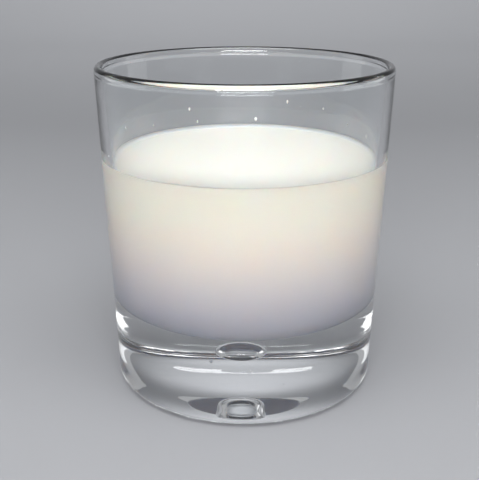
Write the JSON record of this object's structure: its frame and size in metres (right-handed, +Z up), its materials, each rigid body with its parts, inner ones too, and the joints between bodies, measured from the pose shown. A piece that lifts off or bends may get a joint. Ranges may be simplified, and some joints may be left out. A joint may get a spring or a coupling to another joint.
{
  "type": "glass of milk",
  "caption": "Heavy-based round tumbler of clear glass with an air bubble sealed in its thick base, filled about two thirds with milk.",
  "frame": {"origin": "middle of the foot, on the table", "axes": "+Z up along the axis of the glass, +X to the right, the side seen in front faces -Y"},
  "size_m": [0.082, 0.082, 0.0918],
  "materials": {
    "glass": "clear, smooth, fire polished",
    "milk": "opaque off-white liquid with a soft gloss"
  },
  "bodies": {
    "root": {"glass": "glass", "milk": "milk"}
  },
  "joints": []
}
